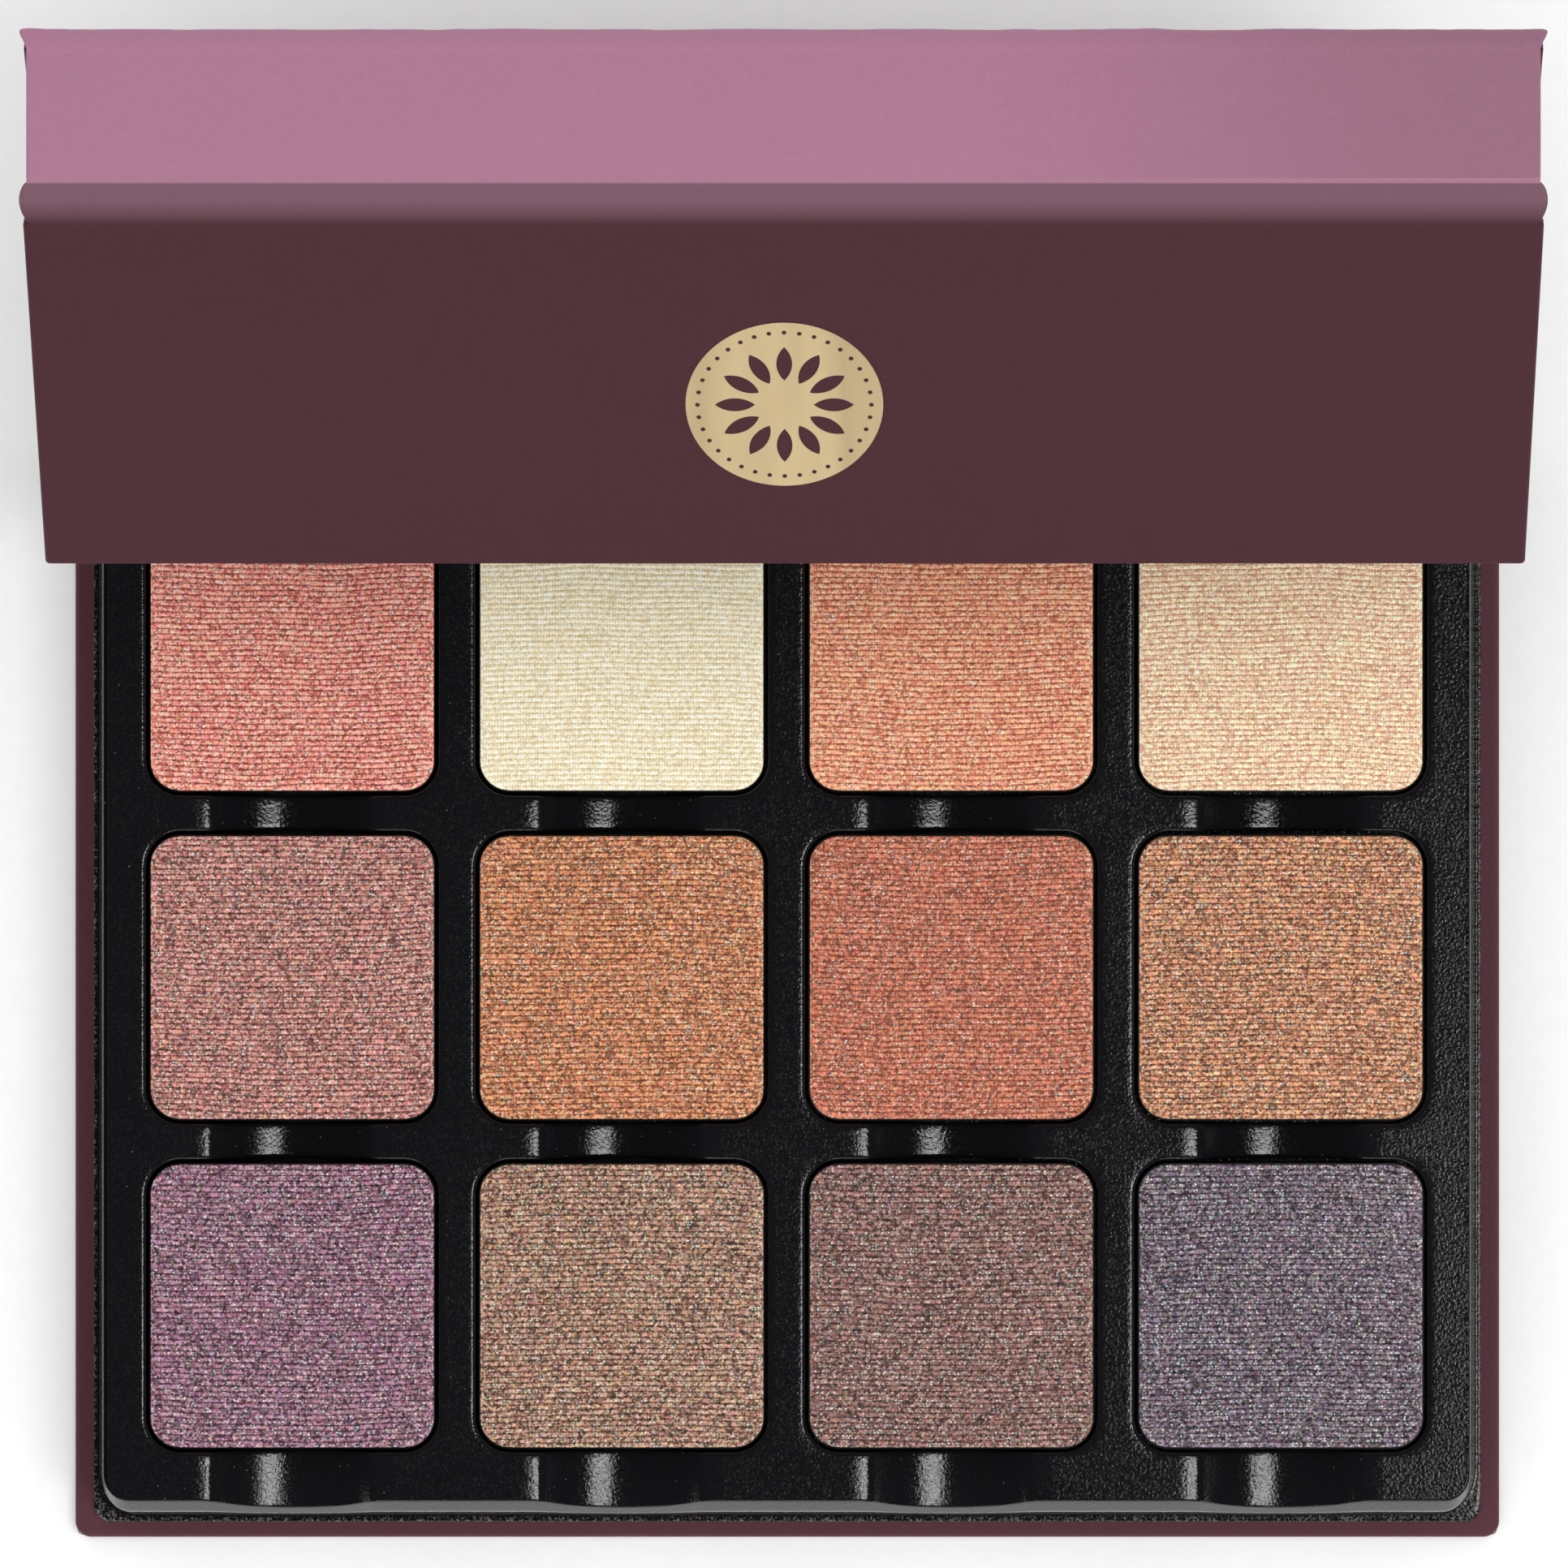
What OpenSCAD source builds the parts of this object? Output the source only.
// Folding-cover eyeshadow palette: wrapped-board case, vacuum-formed insert, twelve lift-out pans.
// Origin: centre of the underside. +X right, +Y towards the hinge, +Z up. Drawn open, as it rests in use.

/* [Pans and wells] */
// Side of a square powder pan (mm)
pan_size = 26.8; // [22.3:0.1:32.2]
// Height of a pan (mm)
pan_h = 3.8; // [3.2:0.1:5]
// Corner radius of a pan (mm)
pan_r = 2.95; // [1.6:0.05:4]
// Wall thickness of a pan (mm)
pan_wall = 0.35; // [0.25:0.05:0.6]
// Gap between a pan and its well, each side (mm)
pan_clear = 0.3; // [0.3:0.05:0.8]
// Depth of a pan's rim below the insert's top face (mm)
pan_sink = 0.3; // [0.1:0.1:0.6]
// Web of the insert between two wells, left to right (mm)
rib_x = 3.5; // [2.8:0.1:6]
// Web of the insert between two wells, front to back (mm)
rib_y = 3.4; // [2.8:0.1:6]
// Width of a finger scoop (mm)
scoop_w = 15; // [12:0.5:18]
// Depth of a finger scoop (mm)
scoop_h = 3.8; // [2.8:0.1:4.2]

/* [Base] */
// Height of the insert's top face above the table (mm)
tray_h = 12; // [10:0.1:16]
// Distance from the outer pans to the insert's side edges (mm)
side_margin = 6.05; // [5.4:0.05:10]
// Distance from the front pans to the insert's front edge (mm)
front_margin = 7.45; // [7.4:0.05:10]
// Distance from the back pans to the spine (mm)
back_margin = 7.35; // [5.8:0.05:10]
// Ledge of the base board beyond the insert's sides (mm)
side_ledge = 1.8; // [1:0.1:4]
// Ledge of the base board beyond the insert's front (mm)
front_ledge = 1.7; // [1:0.1:4]
// Thickness of the insert's plastic (mm)
sheet_t = 0.5; // [0.4:0.05:0.6]
// Width of the insert's flange, where it is glued to the base (mm)
flange_w = 0.85; // [0.6:0.05:1.2]
// How far the insert's side slopes in from its foot to its top (mm)
insert_slope = 1.6; // [1:0.1:2]
// Thickness of the magnetic sheet below the wells (mm)
sheet_magnet_t = 0.8; // [0.5:0.1:1]

/* [Cover] */
// Thickness of the grey board inside the cover panels (mm)
board_t = 1.1; // [0.9:0.1:1.3]
// Thickness of the wrapping paper (mm)
paper_t = 0.2; // [0.15:0.05:0.25]
// Half width of a paper gutter (mm)
gutter = 1.7; // [1.5:0.1:2.5]
// How far a fold line lies inside the middle of its board (mm)
fold_drop = 0.2; // [0.15:0.05:0.3]
// Radius of the crease along a fold line (mm)
crease_r = 0.35; // [0.3:0.05:0.4]
// How far a crease stands out at each end (mm)
crease_ear = 0.7; // [0.3:0.1:1]
// Length of the top strip panel between its folds (mm)
strip_len = 15.2; // [12.5:0.1:18.5]
// Length of the front panel from its fold to its free edge (mm)
front_len = 39.2; // [34:0.1:47]
// How far each end of the strip panel stands in from the other panels' (mm)
strip_in = 0.4; // [0:0.1:1]
// Overhang of the closed cover beyond the base, front (mm)
front_overhang = 0.6; // [0:0.1:1]
// Overhang of the closed cover beyond the base, each side (mm)
side_overhang = 0.3; // [0:0.1:1]
// Gap between the closed cover and the insert (mm)
cover_gap = 0.3; // [0.3:0.1:0.8]
// Angle that the rear panel is open by at rest (deg)
open_angle = 130; // [118:1:132]
// Angle that the front panel hangs down by at rest (deg)
front_angle = 37; // [20:1:40]
// Diameter of the foil emblem (mm)
emblem_d = 17.9; // [12:0.1:22]
// Distance of the emblem's centre from the front panel's fold (mm)
emblem_y = 21.3; // [16:0.1:24]
// Length of a catch magnet (mm)
magnet_l = 10; // [6:0.5:12]
// Width of a catch magnet (mm)
magnet_w = 3; // [2:0.1:3.2]

/* [Hidden] */
cols = 4;
rows = 3;
$fn = 48;
turn_in = 2.5;
edge_r = 0.8;
well_r = pan_r + pan_clear;
well_size = pan_size + 2 * pan_clear;
pitch_x = well_size + rib_x;
pitch_y = well_size + rib_y;
tray_w = (cols - 1) * pitch_x + pan_size + 2 * side_margin;
tray_d = (rows - 1) * pitch_y + pan_size + front_margin + back_margin;
panel_t = board_t + 2 * paper_t;
base_w = tray_w + 2 * side_ledge;
base_d = tray_d + front_ledge + panel_t;
y_front = -base_d / 2;
y_back = base_d / 2;
tray_front = y_front + front_ledge;
tray_back = y_back - panel_t;
pans_y = tray_front + front_margin + pan_size / 2;
// the spine and the fold lines
hinge_y = y_back - panel_t / 2 - fold_drop;
hinge_z = tray_h + cover_gap + panel_t / 2 - fold_drop;
spine_top = hinge_z - gutter;
cover_w = base_w + 2 * side_overhang;
crease_w = cover_w + 2 * crease_ear;
rear_len = hinge_y - y_front + front_overhang - strip_len - front_len;
rear_tilt = 180 - open_angle;
upper_y = hinge_y + rear_len * cos(rear_tilt);
upper_z = hinge_z + rear_len * sin(rear_tilt);
lower_y = upper_y - strip_len;
crease_gap = 0.3;
// heights in the insert
pan_top = tray_h - pan_sink;
pan_z = pan_top - pan_h;
floor_z = pan_z - sheet_t;
powder_sink = 0.1;
// the insert's plan
back_gap = 0.1;
top_in = flange_w + insert_slope;
top_r = 2.5;
scoop_r = (scoop_w * scoop_w / 4 + scoop_h * scoop_h) / (2 * scoop_h);
scoop_z = tray_h + scoop_r - scoop_h;
magnet_t = 0.8;
magnet_x = pitch_x;
magnet_y = tray_front + top_in + sheet_t + magnet_w / 2 + 0.2;

burgundy = [0.33, 0.20, 0.235];
mauve = [0.69, 0.49, 0.58];
black = [0.08, 0.08, 0.085];
greyboard = [0.6, 0.57, 0.52];
lacquer = [0.09, 0.09, 0.09];
steel = [0.62, 0.62, 0.64];
gold = [0.85, 0.74, 0.55];
shades = [
  ["apricot", 0.80, 0.53, 0.46],
  ["cream", 0.90, 0.83, 0.72],
  ["peach", 0.81, 0.55, 0.44],
  ["sand", 0.88, 0.74, 0.61],
  ["dusky_rose", 0.66, 0.47, 0.44],
  ["amber", 0.71, 0.49, 0.36],
  ["russet", 0.69, 0.43, 0.35],
  ["copper", 0.71, 0.52, 0.41],
  ["mulberry", 0.54, 0.41, 0.46],
  ["olive_bronze", 0.61, 0.49, 0.41],
  ["cocoa", 0.52, 0.41, 0.37],
  ["pewter", 0.44, 0.39, 0.42]
];

function pan_x(c) = (c - (cols - 1) / 2) * pitch_x;
function pan_row_y(r) = pans_y + (rows - 1 - r) * pitch_y;

module round_rect(w, d, r) {
  square([w - 2 * r, d], center = true);
  square([w, d - 2 * r], center = true);
  for (x = [-1, 1], y = [-1, 1])
    translate([x * (w / 2 - r), y * (d / 2 - r)])
      circle(r);
}

// a flat plate centred on x, with rounded corners in plan
module plate(w, y0, y1, z0, z1, r) {
  translate([0, (y0 + y1) / 2, z0])
    linear_extrude(z1 - z0)
      round_rect(w, y1 - y0, r);
}

// a plain block centred on x
module block(w, y0, y1, z0, z1) {
  translate([-w / 2, y0, z0])
    cube([w, y1 - y0, z1 - z0]);
}

// ---------- base ----------
module bottom_board() {
  color(greyboard)
    plate(base_w - 2 * paper_t, y_front + paper_t, tray_back, paper_t, paper_t + board_t, 0.6);
}

module spine_board() {
  color(greyboard)
    block(base_w - 2 * paper_t, tray_back + paper_t, y_back - paper_t, paper_t, spine_top - paper_t);
}

module base_wrap() {
  frame = 10;
  color(burgundy) {
    difference() {
      union() {
        plate(base_w, y_front, y_back - 2, 0, panel_t, edge_r);
        block(base_w, y_front + 5, y_back - 1, 0, panel_t);
        block(base_w, tray_back, y_back, 1, spine_top);
        // rounded outer corner under the spine
        intersection() {
          block(base_w, y_back - 1.1, y_back, 0, 1.1);
          translate([-base_w / 2, y_back - 1, 1])
            rotate([0, 90, 0])
              cylinder(h = base_w, r = 1);
        }
      }
      bottom_board();
      spine_board();
      block(base_w - 2 * frame, y_front + frame, tray_back - frame, panel_t - paper_t, panel_t + 1);
    }
    // paper web standing up to the rear fold
    block(crease_w - 1, hinge_y - paper_t, hinge_y + paper_t, spine_top - 0.1, hinge_z - crease_r - crease_gap);
  }
}

// solid with sloping sides and rounded corners; w, d and r are those of its top face
module sloped(w, d, z0, z1, r, grow) {
  h = z1 - z0;
  for (x = [-1, 1], y = [-1, 1])
    translate([x * (w / 2 - r), y * (d / 2 - r), z0])
      cylinder(h = h, r1 = r + grow, r2 = r);
  translate([-(w / 2 - r), 0, z0])
    rotate([90, 0, 90])
      linear_extrude(w - 2 * r)
        polygon([[-d / 2 - grow, 0], [d / 2 + grow, 0], [d / 2, h], [-d / 2, h]]);
  translate([0, d / 2 - r, z0])
    rotate([90, 0, 0])
      linear_extrude(d - 2 * r)
        polygon([[-w / 2 - grow, 0], [w / 2 + grow, 0], [w / 2, h], [-w / 2, h]]);
}

module wells(size, r, z0, z1) {
  for (c = [0 : cols - 1], k = [0 : rows - 1])
    translate([pan_x(c), pan_row_y(k), z0])
      linear_extrude(z1 - z0)
        round_rect(size, size, r);
}

// the finger scoops: troughs that run front to back in front of each well, the front ones right out
module scoops(r) {
  for (c = [0 : cols - 1], k = [0 : rows - 1]) {
    y1 = pan_row_y(k) - well_size / 2 + 0.2;
    y0 = k == rows - 1 ? tray_front - 1 : pan_row_y(k + 1) + well_size / 2 - 0.2;
    translate([pan_x(c), y1, scoop_z])
      rotate([90, 0, 0])
        cylinder(h = y1 - y0, r = r);
  }
}

module insert_tray() {
  back = tray_back - back_gap;
  w = tray_w - 2 * top_in;
  d = back - tray_front - 2 * top_in;
  y = (tray_front + back) / 2;
  color(black)
    difference() {
      union() {
        plate(tray_w, tray_front, back, panel_t, panel_t + sheet_t, 1.5);
        translate([0, y, 0])
          sloped(w, d, panel_t, tray_h, top_r, insert_slope);
      }
      difference() {
        translate([0, y, 0])
          sloped(w - 2 * sheet_t, d - 2 * sheet_t, panel_t - sheet_t, tray_h - sheet_t,
                 top_r - sheet_t, insert_slope);
        wells(well_size + 2 * sheet_t, well_r + sheet_t, floor_z, tray_h + 1);
        scoops(scoop_r + sheet_t);
      }
      wells(well_size, well_r, pan_z, tray_h + 1);
      scoops(scoop_r);
    }
}

module magnet_sheet() {
  w = (cols - 1) * pitch_x + well_size;
  d = (rows - 1) * pitch_y + well_size;
  y = pan_row_y(rows - 1) - well_size / 2;
  color([0.2, 0.18, 0.17])
    plate(w, y, y + d, floor_z - sheet_magnet_t, floor_z, 2);
}

module base_magnet(s) {
  color(steel)
    translate([s * magnet_x - magnet_l / 2, magnet_y - magnet_w / 2, tray_h - sheet_t - magnet_t])
      cube([magnet_l, magnet_w, magnet_t]);
}

module base_magnet_left() base_magnet(-1);
module base_magnet_right() base_magnet(1);

// ---------- pans ----------
module pan(c, k) {
  color(lacquer)
    translate([pan_x(c), pan_row_y(k), pan_z])
      difference() {
        linear_extrude(pan_h)
          round_rect(pan_size, pan_size, pan_r);
        translate([0, 0, pan_wall])
          linear_extrude(pan_h)
            round_rect(pan_size - 2 * pan_wall, pan_size - 2 * pan_wall, pan_r - pan_wall);
      }
}

module powder(c, k) {
  s = shades[k * cols + c];
  color([s[1], s[2], s[3]])
    translate([pan_x(c), pan_row_y(k), pan_z + pan_wall])
      linear_extrude(pan_h - pan_wall - powder_sink)
        round_rect(pan_size - 2 * pan_wall, pan_size - 2 * pan_wall, pan_r - pan_wall);
}

module pan_apricot() pan(0, 0);
module pan_cream() pan(1, 0);
module pan_peach() pan(2, 0);
module pan_sand() pan(3, 0);
module pan_dusky_rose() pan(0, 1);
module pan_amber() pan(1, 1);
module pan_russet() pan(2, 1);
module pan_copper() pan(3, 1);
module pan_mulberry() pan(0, 2);
module pan_olive_bronze() pan(1, 2);
module pan_cocoa() pan(2, 2);
module pan_pewter() pan(3, 2);
module powder_apricot() powder(0, 0);
module powder_cream() powder(1, 0);
module powder_peach() powder(2, 0);
module powder_sand() powder(3, 0);
module powder_dusky_rose() powder(0, 1);
module powder_amber() powder(1, 1);
module powder_russet() powder(2, 1);
module powder_copper() powder(3, 1);
module powder_mulberry() powder(0, 2);
module powder_olive_bronze() powder(1, 2);
module powder_cocoa() powder(2, 2);
module powder_pewter() powder(3, 2);

// ---------- cover ----------
// Each panel is drawn closed: from its fold line at the origin towards -Y, outer face up.
mid = fold_drop;
face = mid + panel_t / 2;
back = mid - panel_t / 2;

module at_rear()
  translate([0, hinge_y, hinge_z])
    rotate([-open_angle, 0, 0])
      children();

module at_strip()
  translate([0, upper_y, upper_z])
    children();

module at_front()
  translate([0, lower_y, upper_z])
    rotate([front_angle, 0, 0])
      children();

// far is where the panel's far edge is: a gutter short of the next fold, or the free edge
module panel_board(far, w = cover_w) {
  color(greyboard)
    plate(w - 2 * paper_t, -far + paper_t, -gutter - paper_t, back + paper_t, face - paper_t, 0.6);
}

// the paper over the outer face and round the edges, with its half webs and its crease
module panel_wrap(far, fold_far, tone, w = cover_w) {
  color(tone) {
    difference() {
      plate(w, -far, -gutter, back, face, edge_r);
      panel_board(far, w);
      liner_room(far, fold_far, w - 2 * turn_in);
    }
    block(crease_w - 1, -gutter, 0, 0, paper_t);
    translate([-crease_w / 2, 0, 0])
      rotate([0, 90, 0])
        cylinder(h = crease_w, r = crease_r);
    if (fold_far)
      block(crease_w - 1, -far - gutter + crease_r + crease_gap, -far, 0, paper_t);
  }
}

module liner_room(far, fold_far, w) {
  y0 = fold_far ? -far - 1 : -far + turn_in;
  block(w, y0, 1, back - 1, back + paper_t);
  block(w, -gutter - paper_t, 1, back - 1, 0);
  if (fold_far)
    block(w, y0, -far + paper_t, back - 1, 0);
}

module panel_liner(far, fold_far, w = cover_w - 2 * turn_in) {
  y0 = fold_far ? -far : -far + turn_in;
  color(black) {
    difference() {
      union() {
        block(w, y0, -gutter, back, back + paper_t);
        block(w, -gutter - paper_t, -gutter, back, 0);
        block(w, -gutter - 0.1, 0, -paper_t, 0);
        if (fold_far) {
          block(w, -far, -far + paper_t, back, 0);
          block(w, -far - gutter + crease_r + crease_gap, -far + 0.1, -paper_t, 0);
        }
      }
      translate([-crease_w / 2, 0, 0])
        rotate([0, 90, 0])
          cylinder(h = crease_w, r = crease_r);
    }
  }
}

// the front panel's magnets come to lie over those in the base
lid_magnet_y = magnet_y - (y_front - front_overhang) - front_len;

rear_far = rear_len - gutter;
strip_far = strip_len - gutter;

module rear_board() at_rear() panel_board(rear_far);
module rear_wrap() at_rear() panel_wrap(rear_far, true, burgundy);
module rear_liner() at_rear() panel_liner(rear_far, true);
strip_w = cover_w - 2 * strip_in;
module strip_board() at_strip() panel_board(strip_far, strip_w);
module strip_wrap() at_strip() panel_wrap(strip_far, true, mauve, strip_w);
module strip_liner() at_strip() panel_liner(strip_far, true, strip_w - 2 * turn_in);

module front_board()
  at_front()
    difference() {
      panel_board(front_len);
      for (s = [-1, 1])
        lid_magnet_shape(s);
    }

module front_wrap() at_front() panel_wrap(front_len, false, burgundy);
module front_liner() at_front() panel_liner(front_len, false);

module lid_magnet_shape(s)
  color(steel)
    translate([s * magnet_x - magnet_l / 2, lid_magnet_y - magnet_w / 2, back + paper_t])
      cube([magnet_l, magnet_w, magnet_t]);

module lid_magnet_left() at_front() lid_magnet_shape(-1);
module lid_magnet_right() at_front() lid_magnet_shape(1);

// a foil disc with a rosette of petals and a ring of dots knocked out of it
module emblem() {
  color(gold)
    at_front()
      translate([0, -emblem_y, face])
        linear_extrude(0.05)
          difference() {
            circle(emblem_d / 2);
            for (a = [0 : 10 : 350])
              rotate(a)
                translate([emblem_d * 0.44, 0])
                  circle(emblem_d * 0.012);
            for (a = [0 : 30 : 330])
              rotate(a)
                translate([emblem_d * 0.25, 0])
                  intersection() {
                    translate([0, emblem_d * 0.11])
                      circle(emblem_d * 0.15);
                    translate([0, -emblem_d * 0.11])
                      circle(emblem_d * 0.15);
                  }
          }
}

bottom_board();
spine_board();
base_wrap();
insert_tray();
magnet_sheet();
base_magnet_left();
base_magnet_right();
pan_apricot();
pan_cream();
pan_peach();
pan_sand();
pan_dusky_rose();
pan_amber();
pan_russet();
pan_copper();
pan_mulberry();
pan_olive_bronze();
pan_cocoa();
pan_pewter();
powder_apricot();
powder_cream();
powder_peach();
powder_sand();
powder_dusky_rose();
powder_amber();
powder_russet();
powder_copper();
powder_mulberry();
powder_olive_bronze();
powder_cocoa();
powder_pewter();
rear_board();
rear_wrap();
rear_liner();
strip_board();
strip_wrap();
strip_liner();
front_board();
front_wrap();
front_liner();
lid_magnet_left();
lid_magnet_right();
emblem();
